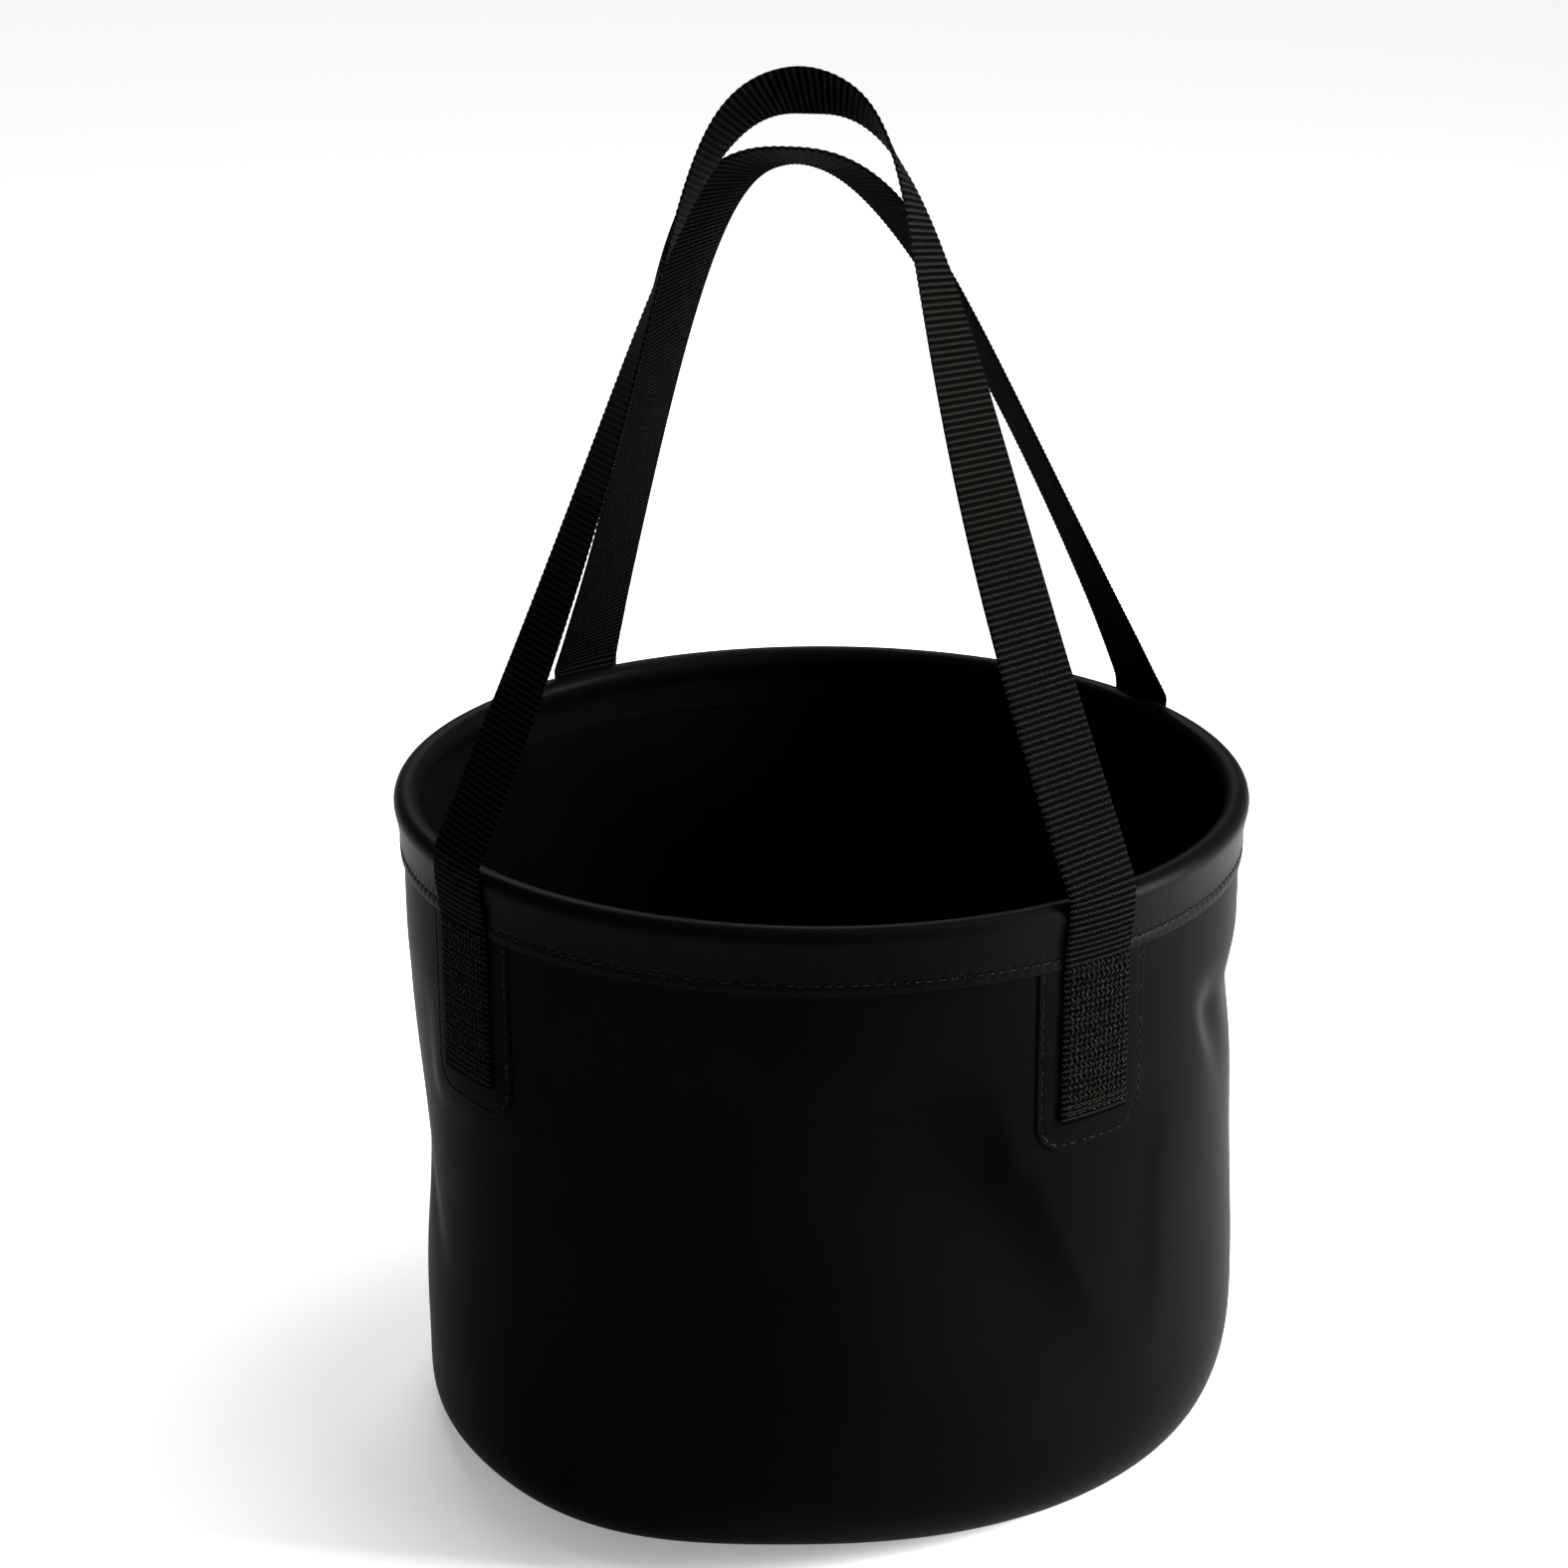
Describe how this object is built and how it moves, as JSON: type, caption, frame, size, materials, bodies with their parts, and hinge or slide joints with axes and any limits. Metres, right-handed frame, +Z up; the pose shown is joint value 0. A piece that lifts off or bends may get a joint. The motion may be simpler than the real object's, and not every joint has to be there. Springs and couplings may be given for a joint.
{
  "type": "florist bucket",
  "caption": "Soft round coated-fabric bucket with a hooped, hemmed rim, a rounded base and webbing loop handles sewn to the outside of its wall.",
  "frame": {"origin": "centre of the underside of the base, on the surface that the bucket stands on", "axes": "+Z up; -Y to the front, where the taller front handle is; +X to the right seen from the front, along both handles' fold lines"},
  "size_m": [0.33, 0.33, 0.5383],
  "materials": {
    "coated_fabric": "smooth matte black PVC-coated fabric with a soft sheen",
    "webbing": "black ribbed polyester webbing",
    "thread": "black bonded sewing thread",
    "hoop_plastic": "black plastic rod, hidden in the hem"
  },
  "bodies": {
    "base": {"base_panel": "coated_fabric", "wall_panel": "coated_fabric"},
    "rim": {"rim_hoop": "hoop_plastic", "rim_hem": "coated_fabric", "hem_stitching": "thread", "front_left_patch": "coated_fabric", "front_right_patch": "coated_fabric", "rear_left_patch": "coated_fabric", "rear_right_patch": "coated_fabric", "front_left_patch_stitching": "thread", "front_right_patch_stitching": "thread", "rear_left_patch_stitching": "thread", "rear_right_patch_stitching": "thread", "front_left_strap_end": "webbing", "front_right_strap_end": "webbing", "rear_left_strap_end": "webbing", "rear_right_strap_end": "webbing", "front_left_strap_stitching": "thread", "front_right_strap_stitching": "thread", "rear_left_strap_stitching": "thread", "rear_right_strap_stitching": "thread"},
    "front_handle": {"front_handle": "webbing"},
    "rear_handle": {"rear_handle": "webbing"}
  },
  "joints": [
    {"name": "wall_collapse", "type": "slide", "parent": "base", "child": "rim", "axis": [0, 0, -1], "range_m": [0, 0.15], "deforming": ["wall_panel"]},
    {"name": "front_handle_fold", "type": "hinge", "parent": "rim", "child": "front_handle", "pos_m": [0, -0.1287, 0.26185], "axis": [1, 0, 0], "range_deg": [0, 125]},
    {"name": "rear_handle_fold", "type": "hinge", "parent": "rim", "child": "rear_handle", "pos_m": [0, 0.1287, 0.26185], "axis": [-1, 0, 0], "range_deg": [0, 136]}
  ]
}
